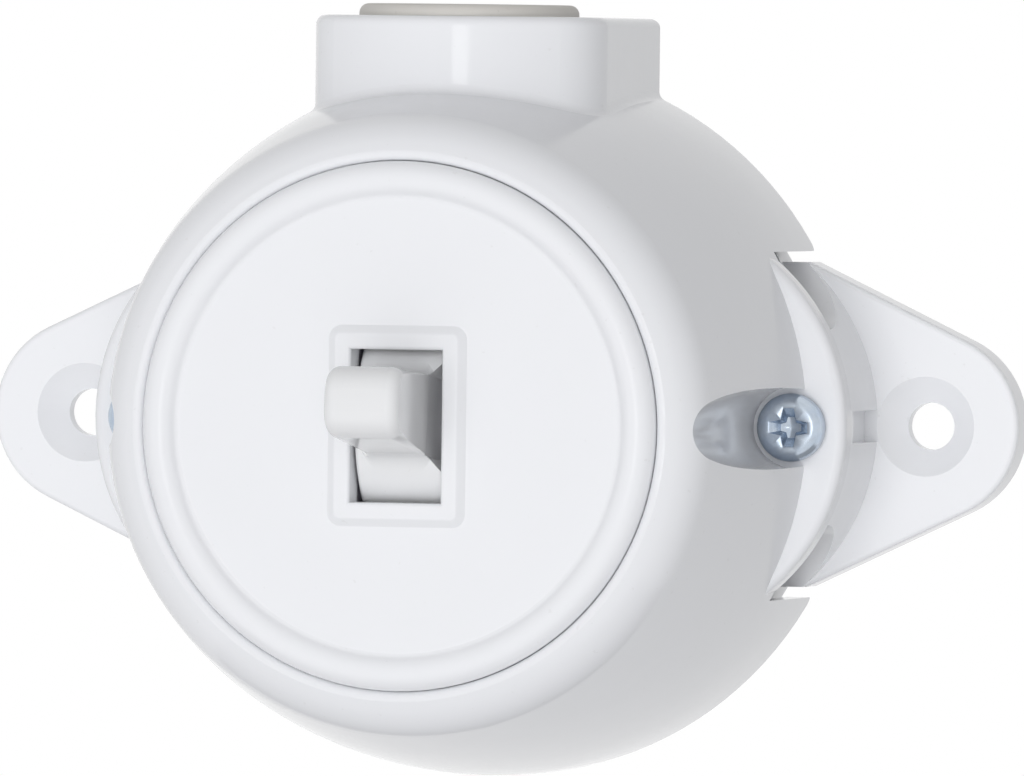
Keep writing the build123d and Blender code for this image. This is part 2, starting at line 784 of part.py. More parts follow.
# Screws that hold the mechanism frame to the posts of the front plate
lugs = {"top": post_height, "bottom": -post_height}
for place, height in lugs.items():
    lug_seat = Plane(origin=(0, -lug_back, height), z_dir=(0, 1, 0))
    frame_screw = pan_head_screw(
        lug_seat,
        small_shank_radius,
        frame_screw_length + lug_thickness - screw_hole_slack,
        small_head_radius,
        small_head_height,
    )
    save(frame_screw, f"frame_screw_{place}")

# Screws that hold the cover to the base
for place, side in sides.items():
    flange_seat = Plane(origin=(side * screw_x, -shelf_depth, 0), z_dir=(0, -1, 0))
    cover_screw = pan_head_screw(
        flange_seat, screw_shank_radius, screw_length, screw_head_radius, screw_head_height
    )
    save(cover_screw, f"cover_screw_{place}")

# Soft grommet snapped into the hub, with a low round flange and the hole that the cable goes through
with BuildPart() as entry_grommet:
    with BuildSketch(Plane.XY.offset(hub_top)):
        with Locations((0, -hub_hole_depth)):
            Circle(grommet_flange_radius)
    extrude(amount=grommet_flange_height)
    crest = entry_grommet.faces().sort_by(Axis.Z)[-1]
    fillet(crest.edges(), grommet_flange_height - grommet_edge_height)
    with BuildSketch(Plane.XY.offset(hub_top)):
        with Locations((0, -hub_hole_depth)):
            Circle(hub_hole_radius - running_gap)
    extrude(amount=-hub_top_wall)
    with BuildSketch(Plane.XY.offset(hub_top - hub_top_wall)):
        with Locations((0, -hub_hole_depth)):
            Circle(grommet_barb_radius)
    extrude(amount=-grommet_barb_height, taper=grommet_barb_taper)
    with BuildSketch(Plane.XY.offset(hub_top + grommet_flange_height)):
        with Locations((0, -hub_hole_depth)):
            Circle(cable_radius)
    extrude(amount=-grommet_height, mode=Mode.SUBTRACT)
    bore_rims = entry_grommet.edges().filter_by(GeomType.CIRCLE).filter_by(
        lambda rim: abs(rim.radius - cable_radius) < running_gap
    )
    chamfer(bore_rims.sort_by(Axis.Z)[-1], grommet_mouth_depth)
save(entry_grommet.part, "entry_grommet")
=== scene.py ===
"""Looks of a round surface-mounted toggle light switch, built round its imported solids.

The wall is the plane Y = 0, the front of the switch faces -Y and +Z is up. Sizes are in metres.
"""

import logging
import math
from dataclasses import dataclass, field
from enum import Enum

import bmesh
import bpy
from mathutils import Matrix, Vector


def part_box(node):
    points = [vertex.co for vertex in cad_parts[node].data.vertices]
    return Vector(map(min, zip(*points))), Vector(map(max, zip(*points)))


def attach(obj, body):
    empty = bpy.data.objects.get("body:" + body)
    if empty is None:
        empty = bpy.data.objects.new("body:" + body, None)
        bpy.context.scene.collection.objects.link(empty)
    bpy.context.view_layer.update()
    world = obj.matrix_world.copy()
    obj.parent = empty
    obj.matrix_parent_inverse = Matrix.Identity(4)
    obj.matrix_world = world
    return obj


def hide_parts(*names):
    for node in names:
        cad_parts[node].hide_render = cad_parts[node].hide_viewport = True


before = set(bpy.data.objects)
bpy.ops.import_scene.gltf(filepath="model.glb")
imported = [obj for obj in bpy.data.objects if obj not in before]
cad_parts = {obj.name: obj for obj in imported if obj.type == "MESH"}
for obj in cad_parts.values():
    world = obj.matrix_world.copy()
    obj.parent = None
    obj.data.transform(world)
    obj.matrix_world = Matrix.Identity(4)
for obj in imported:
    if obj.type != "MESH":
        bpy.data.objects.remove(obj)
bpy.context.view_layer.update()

log = logging.getLogger("light_switch")

Colour = tuple[float, float, float]
Point = tuple[float, float, float]

MM = 0.001


class Facing(Enum):
    """Way that a screw's head looks, as a turn about X from a head that looks up."""

    FRONT = math.radians(90)
    WALL = math.radians(-90)


class Socket(Enum):
    """Kinds of socket that the node groups have."""

    FLOAT = "NodeSocketFloat"
    COLOUR = "NodeSocketColor"
    VECTOR = "NodeSocketVector"
    GEOMETRY = "NodeSocketGeometry"
    OBJECT = "NodeSocketObject"
    MATERIAL = "NodeSocketMaterial"


class NodeSheet:
    """Adds, sets and joins the nodes of one node tree."""

    # Places of the colour sockets on a Mix node, whose names repeat for each kind of value
    mix_first = 6
    mix_second = 7
    mix_result = 2

    def __init__(self, tree: bpy.types.NodeTree) -> None:
        """Keeps the tree that the nodes go into."""
        self.tree = tree

    def add(self, kind: str, **settings: object) -> bpy.types.Node:
        """Adds a node.

        Args:
            kind: The node's Blender type name.
            **settings: Properties of the node to set.

        Returns:
            The new node.
        """
        node = self.tree.nodes.new(kind)
        for name, value in settings.items():
            setattr(node, name, value)
        return node

    def feed(self, node: bpy.types.Node, **inputs: object) -> bpy.types.Node:
        """Sets or joins inputs of a node.

        Args:
            node: The node whose inputs are fed.
            **inputs: Input names, with _ for a space, and a value or a socket to join to each.

        Returns:
            The same node.
        """
        for name, value in inputs.items():
            socket = node.inputs[name.replace("_", " ")]
            self.put(socket, value)
        return node

    def fill(self, node: bpy.types.Node, *values: object) -> bpy.types.Node:
        """Sets or joins the inputs of a node in their order.

        Args:
            node: The node whose inputs are filled.
            *values: A value or a socket for each input.

        Returns:
            The same node.
        """
        for socket, value in zip(node.inputs, values):
            self.put(socket, value)
        return node

    def put(self, socket: bpy.types.NodeSocket, value: object) -> None:
        """Joins a socket to the value if that is a socket, and sets it otherwise."""
        if isinstance(value, bpy.types.NodeSocket):
            self.tree.links.new(value, socket)
        else:
            socket.default_value = value

    def maths(self, operation: str, *values: object) -> bpy.types.NodeSocket:
        """Adds a Math node.

        Args:
            operation: The node's operation.
            *values: Its inputs in order, each a number or a socket.

        Returns:
            The node's output.
        """
        node = self.fill(self.add("ShaderNodeMath", operation=operation), *values)
        return node.outputs["Value"]

    def noise(
        self, vector: object, scale: object, detail: float, rough: float = 0.5
    ) -> bpy.types.NodeSocket:
        """Adds a Noise texture.

        Args:
            vector: The socket with its coordinates.
            scale: Its scale, a number or a socket.
            detail: Its number of octaves.
            rough: How much of each finer octave it keeps.

        Returns:
            The noise's value.
        """
        node = self.add("ShaderNodeTexNoise")
        self.feed(node, Vector=vector, Scale=scale, Detail=detail, Roughness=rough)
        return node.outputs["Fac"]

    def ramp(
        self, value: object, low: object, high: object, start: object = 0.0, end: object = 1.0
    ) -> bpy.types.NodeSocket:
        """Maps a value smoothly from one range to another.

        Args:
            value: The value to map.
            low: Lower end of the range it comes from.
            high: Upper end of the range it comes from.
            start: Result at the lower end.
            end: Result at the upper end.

        Returns:
            The mapped value.
        """
        node = self.add("ShaderNodeMapRange", interpolation_type="SMOOTHSTEP")
        self.feed(node, Value=value, From_Min=low, From_Max=high, To_Min=start, To_Max=end)
        return node.outputs["Result"]

    def mix(self, share: object, first: object, second: object, blend: str = "MIX") -> bpy.types.NodeSocket:
        """Mixes two colours.

        Args:
            share: Share of the second colour.
            first: The first colour.
            second: The second colour.
            blend: The way they mix.

        Returns:
            The mixed colour.
        """
        node = self.add("ShaderNodeMix", data_type="RGBA", blend_type=blend)
        self.put(node.inputs["Factor"], share)
        self.put(node.inputs[self.mix_first], first)
        self.put(node.inputs[self.mix_second], second)
        return node.outputs[self.mix_result]


def rgba(colour: Colour) -> tuple[float, float, float, float]:
    """Returns the colour with full alpha."""
    return (*colour, 1.0)


class NodeGroup:
    """A node group with named inputs and outputs, built once."""

    kind: str = ""
    name: str = ""
    inputs: dict[str, Socket] = {}
    outputs: dict[str, Socket] = {}

    def tree(self) -> bpy.types.NodeTree:
        """Returns the group's tree, building it the first time."""
        found = bpy.data.node_groups.get(self.name)
        if found:
            return found
        tree = bpy.data.node_groups.new(self.name, self.kind)
        for name, kind in self.inputs.items():
            tree.interface.new_socket(name=name, in_out="INPUT", socket_type=kind.value)
        for name, kind in self.outputs.items():
            tree.interface.new_socket(name=name, in_out="OUTPUT", socket_type=kind.value)
        sheet = NodeSheet(tree)
        source = sheet.add("NodeGroupInput")
        target = sheet.add("NodeGroupOutput")
        self.lay(sheet, source, target)
        return tree

    def lay(self, sheet: NodeSheet, source: bpy.types.Node, target: bpy.types.Node) -> None:
        """Lays out the group's inside.

        Args:
            sheet: The group's nodes.
            source: The group's input node.
            target: The group's output node.
        """
        raise NotImplementedError


class SurfaceGroup(NodeGroup):
    """A shader node group that materials place."""

    kind = "ShaderNodeTree"

    def place(self, sheet: NodeSheet, **inputs: object) -> bpy.types.Node:
        """Places the group in a material.

        Args:
            sheet: The material's nodes.
            **inputs: The group's input values.

        Returns:
            The group's node in the material.
        """
        node = sheet.add("ShaderNodeGroup", node_tree=self.tree())
        return sheet.feed(node, **inputs)


class MouldedSkin(SurfaceGroup):
    """Skin of a moulding: faint flow of the colour, fine specks, orange peel and worn gloss."""

    name = "moulded_skin"
    inputs = {
        "Colour": Socket.COLOUR,
        "Flow Colour": Socket.COLOUR,
        "Flow Scale": Socket.FLOAT,
        "Flow Share": Socket.FLOAT,
        "Speck Colour": Socket.COLOUR,
        "Speck Scale": Socket.FLOAT,
        "Speck Share": Socket.FLOAT,
        "Peel Scale": Socket.FLOAT,
        "Gloss": Socket.FLOAT,
        "Gloss Spread": Socket.FLOAT,
    }
    outputs = {"Colour": Socket.COLOUR, "Roughness": Socket.FLOAT, "Height": Socket.FLOAT}
    flow_band = (0.32, 0.68)
    speck_band = (0.70, 0.78)
    smudge_scale = 55.0
    smudge_band = (0.40, 0.66)
    smudge_reach = (-0.35, 1.0)
    fine_peel_ratio = 5.0
    fine_peel_share = 0.25

    def lay(self, sheet: NodeSheet, source: bpy.types.Node, target: bpy.types.Node) -> None:
        """Lays out the group's inside."""
        given = source.outputs
        place = sheet.add("ShaderNodeTexCoord").outputs["Object"]
        streams = sheet.noise(place, given["Flow Scale"], detail=3.0, rough=0.55)
        flow = sheet.ramp(streams, *self.flow_band)
        flow = sheet.maths("MULTIPLY", flow, given["Flow Share"])
        colour = sheet.mix(flow, given["Colour"], given["Flow Colour"])
        grains = sheet.noise(place, given["Speck Scale"], detail=2.0)
        speck = sheet.ramp(grains, *self.speck_band)
        speck = sheet.maths("MULTIPLY", speck, given["Speck Share"])
        colour = sheet.mix(speck, colour, given["Speck Colour"])
        touches = sheet.noise(place, self.smudge_scale, detail=4.0, rough=0.6)
        smudge = sheet.ramp(touches, *self.smudge_band, *self.smudge_reach)
        rough = sheet.maths("MULTIPLY_ADD", smudge, given["Gloss Spread"], given["Gloss"])
        broad = sheet.noise(place, given["Peel Scale"], detail=2.0)
        fine_scale = sheet.maths("MULTIPLY", given["Peel Scale"], self.fine_peel_ratio)
        fine = sheet.noise(place, fine_scale, detail=3.0)
        height = sheet.maths("MULTIPLY_ADD", fine, self.fine_peel_share, broad)
        sheet.put(target.inputs["Colour"], colour)
        sheet.put(target.inputs["Roughness"], rough)
        sheet.put(target.inputs["Height"], height)


class HairScratches(SurfaceGroup):
    """Broken hairline scratches that run two ways over a surface."""

    name = "hair_scratches"
    inputs = {"Length Scale": Socket.FLOAT, "Width Scale": Socket.FLOAT, "Amount": Socket.FLOAT}
    outputs = {"Mask": Socket.FLOAT}
    turns = ((0.2, 0.5, 0.9), (1.1, -0.6, -0.4))
    line_middle = 0.5
    line_half = 0.012
    break_scale = 130.0
    break_band = (0.56, 0.70)

    def lay(self, sheet: NodeSheet, source: bpy.types.Node, target: bpy.types.Node) -> None:
        """Lays out the group's inside."""
        given = source.outputs
        place = sheet.add("ShaderNodeTexCoord").outputs["Object"]
        masks = []
        for turn in self.turns:
            stretch = sheet.add("ShaderNodeCombineXYZ")
            sheet.feed(stretch, X=given["Length Scale"], Y=given["Width Scale"], Z=given["Width Scale"])
            turned = sheet.add("ShaderNodeMapping")
            sheet.feed(turned, Vector=place, Rotation=turn, Scale=stretch.outputs["Vector"])
            line = sheet.noise(turned.outputs["Vector"], scale=1.0, detail=1.0)
            line = sheet.maths("ABSOLUTE", sheet.maths("SUBTRACT", line, self.line_middle))
            masks.append(sheet.ramp(line, 0.0, self.line_half, 1.0, 0.0))
        broken = sheet.ramp(sheet.noise(place, self.break_scale, detail=2.0), *self.break_band)
        mask = sheet.maths("MULTIPLY", sheet.maths("MAXIMUM", *masks), broken)
        sheet.put(target.inputs["Mask"], sheet.maths("MULTIPLY", mask, given["Amount"]))


class DrawnLines(SurfaceGroup):
    """Fine drawn or turned lines of a metal, and the patches of its plating."""

    name = "drawn_lines"
    inputs = {"Stretch": Socket.VECTOR, "Patch Scale": Socket.FLOAT}
    outputs = {"Lines": Socket.FLOAT, "Patches": Socket.FLOAT}
    patch_band = (0.38, 0.64)

    def lay(self, sheet: NodeSheet, source: bpy.types.Node, target: bpy.types.Node) -> None:
        """Lays out the group's inside."""
        given = source.outputs
        place = sheet.add("ShaderNodeTexCoord").outputs["Object"]
        stretched = sheet.add("ShaderNodeMapping")
        sheet.feed(stretched, Vector=place, Scale=given["Stretch"])
        lines = sheet.noise(stretched.outputs["Vector"], scale=1.0, detail=4.0, rough=0.65)
        clouds = sheet.noise(place, given["Patch Scale"], detail=3.0, rough=0.6)
        patches = sheet.ramp(clouds, *self.patch_band)
        sheet.put(target.inputs["Lines"], lines)
        sheet.put(target.inputs["Patches"], patches)


class EjectorMarks(SurfaceGroup):
    """Round marks that the mould's pins leave, one in each quarter of a face."""

    name = "ejector_marks"
    inputs = {"Across": Socket.FLOAT, "Up": Socket.FLOAT, "Radius": Socket.FLOAT}
    outputs = {"Height": Socket.FLOAT}
    edge_band = (0.94, 1.0)

    def lay(self, sheet: NodeSheet, source: bpy.types.Node, target: bpy.types.Node) -> None:
        """Lays out the group's inside."""
        given = source.outputs
        parts = sheet.add("ShaderNodeSeparateXYZ")
        sheet.feed(parts, Vector=sheet.add("ShaderNodeTexCoord").outputs["Object"])
        across = sheet.maths("SUBTRACT", sheet.maths("ABSOLUTE", parts.outputs["X"]), given["Across"])
        up = sheet.maths("SUBTRACT", sheet.maths("ABSOLUTE", parts.outputs["Z"]), given["Up"])
        squares = [sheet.maths("MULTIPLY", way, way) for way in (across, up)]
        away = sheet.maths("SQRT", sheet.maths("ADD", *squares))
        floor = sheet.ramp(sheet.maths("DIVIDE", away, given["Radius"]), *self.edge_band)
        sheet.put(target.inputs["Height"], floor)


@dataclass(frozen=True)
class MouldedPlastic:
    """Finish of a moulded plastic piece."""

    name: str
    colour: Colour
    flow_colour: Colour
    flow_share: float = 0.5
    flow_scale: float = 26.0
    speck_colour: Colour = (0.45, 0.43, 0.40)
    speck_scale: float = 1300.0
    speck_share: float = 0.10
    gloss: float = 0.17
    gloss_spread: float = 0.05
    peel_scale: float = 420.0
    peel_depth: float = 0.00002
    bump_strength: float = 0.35
    scratch_amount: float = 0.35
    scratch_length_scale: float = 70.0
    scratch_width_scale: float = 2600.0
    scratch_depth: float = 0.25
    scratch_dulling: float = 0.12
    pin_marks: tuple[float, float, float] | None = None
    pin_mark_depth: float = 2.4
    ior: float = 1.5

    def material(self) -> bpy.types.Material:
        """Builds the finish's material.

        Returns:
            The material.
        """
        material, sheet, shader = start_material(self.name)
        skin = MouldedSkin().place(
            sheet,
            Colour=rgba(self.colour),
            Flow_Colour=rgba(self.flow_colour),
            Flow_Scale=self.flow_scale,
            Flow_Share=self.flow_share,
            Speck_Colour=rgba(self.speck_colour),
            Speck_Scale=self.speck_scale,
            Speck_Share=self.speck_share,
            Peel_Scale=self.peel_scale,
            Gloss=self.gloss,
            Gloss_Spread=self.gloss_spread,
        )
        scratches = HairScratches().place(
            sheet,
            Length_Scale=self.scratch_length_scale,
            Width_Scale=self.scratch_width_scale,
            Amount=self.scratch_amount,
        ).outputs["Mask"]
        height = sheet.maths("MULTIPLY_ADD", scratches, -self.scratch_depth, skin.outputs["Height"])
        if self.pin_marks:
            across, up, radius = self.pin_marks
            marks = EjectorMarks().place(sheet, Across=across, Up=up, Radius=radius)
            height = sheet.maths("MULTIPLY_ADD", marks.outputs["Height"], self.pin_mark_depth, height)
        rough = sheet.maths("MULTIPLY_ADD", scratches, self.scratch_dulling, skin.outputs["Roughness"])
        bump = sheet.add("ShaderNodeBump")
        sheet.feed(bump, Height=height, Strength=self.bump_strength, Distance=self.peel_depth)
        sheet.feed(
            shader,
            Base_Color=skin.outputs["Colour"],
            Roughness=rough,
            Normal=bump.outputs["Normal"],
            IOR=self.ior,
        )
        return material


@dataclass(frozen=True)
class WorkedMetal:
    """Finish of a plated, drawn or stamped metal piece."""

    name: str
    colour: Colour
    patch_colour: Colour
    stretch: Point
    patch_scale: float = 320.0
    patch_share: float = 0.5
    gloss: float = 0.26
    line_spread: float = 0.14
    line_depth: float = 0.00001
    line_band: tuple[float, float] = (0.25, 0.75)
    line_shades: tuple[float, float] = (0.86, 1.0)
    bump_strength: float = 0.4
    scratch_amount: float = 0.5
    scratch_length_scale: float = 160.0
    scratch_width_scale: float = 5200.0
    scratch_depth: float = 0.4
    scratch_dulling: float = 0.15

    def material(self) -> bpy.types.Material:
        """Builds the finish's material.

        Returns:
            The material.
        """
        material, sheet, shader = start_material(self.name)
        lines = DrawnLines().place(sheet, Stretch=self.stretch, Patch_Scale=self.patch_scale)
        scratches = HairScratches().place(
            sheet,
            Length_Scale=self.scratch_length_scale,
            Width_Scale=self.scratch_width_scale,
            Amount=self.scratch_amount,
        ).outputs["Mask"]
        patches = sheet.maths("MULTIPLY", lines.outputs["Patches"], self.patch_share)
        colour = sheet.mix(patches, rgba(self.colour), rgba(self.patch_colour))
        shade = sheet.ramp(lines.outputs["Lines"], *self.line_band, *self.line_shades)
        grey = sheet.add("ShaderNodeCombineColor")
        sheet.feed(grey, Red=shade, Green=shade, Blue=shade)
        colour = sheet.mix(1.0, colour, grey.outputs["Color"], "MULTIPLY")
        rough = sheet.maths("MULTIPLY_ADD", lines.outputs["Lines"], self.line_spread, self.gloss)
        rough = sheet.maths("MULTIPLY_ADD", scratches, self.scratch_dulling, rough)
        height = sheet.maths("MULTIPLY_ADD", scratches, -self.scratch_depth, lines.outputs["Lines"])
        bump = sheet.add("ShaderNodeBump")
        sheet.feed(bump, Height=height, Strength=self.bump_strength, Distance=self.line_depth)
        sheet.feed(
            shader,
            Base_Color=colour,
            Metallic=1.0,
            Roughness=rough,
            Normal=bump.outputs["Normal"],
        )
        return material


def start_material(name: str) -> tuple[bpy.types.Material, NodeSheet, bpy.types.Node]:
    """Starts a material with its shader joined to its output.

    Args:
        name: The material's name.

    Returns:
        The material, its nodes and its Principled BSDF.
    """
    material = bpy.data.materials.new(name)
    material.use_nodes = True
    sheet = NodeSheet(material.node_tree)
    return material, sheet, material.node_tree.nodes["Principled BSDF"]


class Finishes(Enum):
    """The finishes of the switch."""

    COVER_WHITE = MouldedPlastic(
        "cover_white", (0.84, 0.848, 0.868), (0.82, 0.828, 0.848), gloss=0.10
    )
    PLATE_WHITE = MouldedPlastic(
        "plate_white", (0.86, 0.868, 0.888), (0.845, 0.853, 0.873), gloss=0.12
    )
    BASE_WHITE = MouldedPlastic(
        "base_white",
        (0.88, 0.888, 0.908),
        (0.86, 0.868, 0.888),
        gloss=0.14,
        pin_marks=(20 * MM, 20 * MM, 3 * MM),
    )
    LEVER_WHITE = MouldedPlastic(
        "lever_white", (0.83, 0.835, 0.84), (0.81, 0.815, 0.82), gloss=0.10, scratch_amount=0.6
    )
    GROMMET_GREY = MouldedPlastic(
        "grommet_grey",
        (0.66, 0.64, 0.60),
        (0.60, 0.58, 0.55),
        flow_scale=90.0,
        speck_share=0.25,
        gloss=0.62,
        gloss_spread=0.12,
        peel_scale=1500.0,
        peel_depth=0.00005,
        scratch_amount=0.0,
    )
    # Mechanism frame seen deep in the toggle opening: its darker grey with a lavender tint is partly
    # painted shade, standing in for the lavender shade inside the opening.
    FRAME_GREY_PAINTED_SHADE = MouldedPlastic(
        "frame_grey_painted_shade",
        (0.56, 0.55, 0.62),
        (0.51, 0.50, 0.56),
        flow_scale=120.0,
        speck_share=0.3,
        gloss=0.48,
        gloss_spread=0.1,
        peel_scale=900.0,
        peel_depth=0.00004,
    )
    PLUNGER_CREAM = MouldedPlastic(
        "plunger_cream", (0.78, 0.74, 0.62), (0.74, 0.69, 0.56), flow_scale=300.0, gloss=0.38
    )
    ZINC = WorkedMetal(
        "zinc", (0.50, 0.58, 0.69), (0.59, 0.64, 0.69), (500.0, 2200.0, 500.0), gloss=0.13
    )
    STEEL = WorkedMetal(
        "drawn_steel", (0.56, 0.565, 0.57), (0.50, 0.48, 0.45), (300.0, 3200.0, 3200.0), gloss=0.28
    )
    BRASS = WorkedMetal(
        "stamped_brass",
        (0.80, 0.60, 0.27),
        (0.62, 0.42, 0.17),
        (2600.0, 2600.0, 260.0),
        patch_scale=210.0,
    )
    SILVER = WorkedMetal(
        "contact_silver",
        (0.88, 0.87, 0.83),
        (0.62, 0.58, 0.50),
        (1800.0, 1800.0, 1800.0),
        patch_scale=900.0,
    )

    @property
    def material(self) -> bpy.types.Material:
        """The finish's material, built the first time."""
        return bpy.data.materials.get(self.value.name) or self.value.material()


def dress(node: str, finish: Finishes) -> None:
    """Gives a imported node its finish.

    Args:
        node: The node's name.
        finish: Its finish.
    """
    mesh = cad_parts[node].data
    mesh.materials.clear()
    mesh.materials.append(finish.material)
    log.info("%s: %s", node, finish.value.name)


@dataclass
class DressedPieces:
    """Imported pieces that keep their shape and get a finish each."""

    finishes: dict[str, Finishes]

    def build(self) -> None:
        """Dresses the pieces."""
        for node, finish in self.finishes.items():
            dress(node, finish)


@dataclass
class Enclosure(DressedPieces):
    """Base, cover, front plate and grommet."""

    finishes: dict[str, Finishes] = field(
        default_factory=lambda: {
            "base_plate": Finishes.BASE_WHITE,
            "cover_shell": Finishes.COVER_WHITE,
            "front_plate": Finishes.PLATE_WHITE,
            "entry_grommet": Finishes.GROMMET_GREY,
        }
    )


@dataclass
class LeverWorks(DressedPieces):
    """The lever with what it carries, and the contacts that it moves."""

    finishes: dict[str, Finishes] = field(
        default_factory=lambda: {
            "toggle_lever": Finishes.LEVER_WHITE,
            "plunger": Finishes.PLUNGER_CREAM,
            "plunger_spring": Finishes.STEEL,
            "lever_pivot_pin": Finishes.STEEL,
            # The frame's finish carries painted shade for the inside of the toggle opening.
            "mechanism_frame": Finishes.FRAME_GREY_PAINTED_SHADE,
            "contact_rocker": Finishes.BRASS,
            "rocker_support": Finishes.BRASS,
            "fixed_contact": Finishes.BRASS,
            "rocker_contact_tip": Finishes.SILVER,
            "fixed_contact_tip": Finishes.SILVER,
            "line_clamp_washer": Finishes.STEEL,
            "load_clamp_washer": Finishes.STEEL,
        }
    )


class ThreadedScrews(NodeGroup):
    """Geometry Nodes tree that winds a thread round a screw blank and sets one on each point."""

    kind = "GeometryNodeTree"
    name = "threaded_screws"
    inputs = {
        "Geometry": Socket.GEOMETRY,
        "Blank": Socket.OBJECT,
        "Turn": Socket.VECTOR,
        "Thread Radius": Socket.FLOAT,
        "Thread Depth": Socket.FLOAT,
        "Thread Length": Socket.FLOAT,
        "Thread End": Socket.FLOAT,
        "Turns": Socket.FLOAT,
        "Finish": Socket.MATERIAL,
    }
    outputs = {"Geometry": Socket.GEOMETRY}
    points_per_turn = 28
    ridge_corners = 4

    def lay(self, sheet: NodeSheet, source: bpy.types.Node, target: bpy.types.Node) -> None:
        """Lays out the group's inside."""
        given = source.outputs
        path = sheet.add("GeometryNodeCurveSpiral")
        sheet.feed(
            path,
            Resolution=self.points_per_turn,
            Rotations=given["Turns"],
            Start_Radius=given["Thread Radius"],
            End_Radius=given["Thread Radius"],
            Height=given["Thread Length"],
        )
        ridge = sheet.add("GeometryNodeCurvePrimitiveCircle", mode="RADIUS")
        sheet.feed(ridge, Resolution=self.ridge_corners, Radius=given["Thread Depth"])
        thread = sheet.add("GeometryNodeCurveToMesh")
        sheet.feed(
            thread,
            Curve=path.outputs["Curve"],
            Profile_Curve=ridge.outputs["Curve"],
            Fill_Caps=True,
        )
        down = sheet.add("ShaderNodeCombineXYZ")
        sheet.feed(down, Z=given["Thread End"])
        moved = sheet.add("GeometryNodeTransform")
        sheet.feed(moved, Geometry=thread.outputs["Mesh"], Translation=down.outputs["Vector"])
        blank = sheet.add("GeometryNodeObjectInfo")
        sheet.feed(blank, Object=given["Blank"])
        whole = sheet.add("GeometryNodeJoinGeometry")
        for part in (moved, blank):
            sheet.feed(whole, Geometry=part.outputs["Geometry"])
        turn = sheet.add("FunctionNodeEulerToRotation")
        sheet.feed(turn, Euler=given["Turn"])
        placed = sheet.add("GeometryNodeInstanceOnPoints")
        sheet.feed(
            placed,
            Points=given["Geometry"],
            Instance=whole.outputs["Geometry"],
            Rotation=turn.outputs["Rotation"],
        )
        real = sheet.add("GeometryNodeRealizeInstances")
        sheet.feed(real, Geometry=placed.outputs["Instances"])
        painted = sheet.add("GeometryNodeSetMaterial")
        sheet.feed(painted, Geometry=real.outputs["Geometry"], Material=given["Finish"])
        sheet.put(target.inputs["Geometry"], painted.outputs["Geometry"])


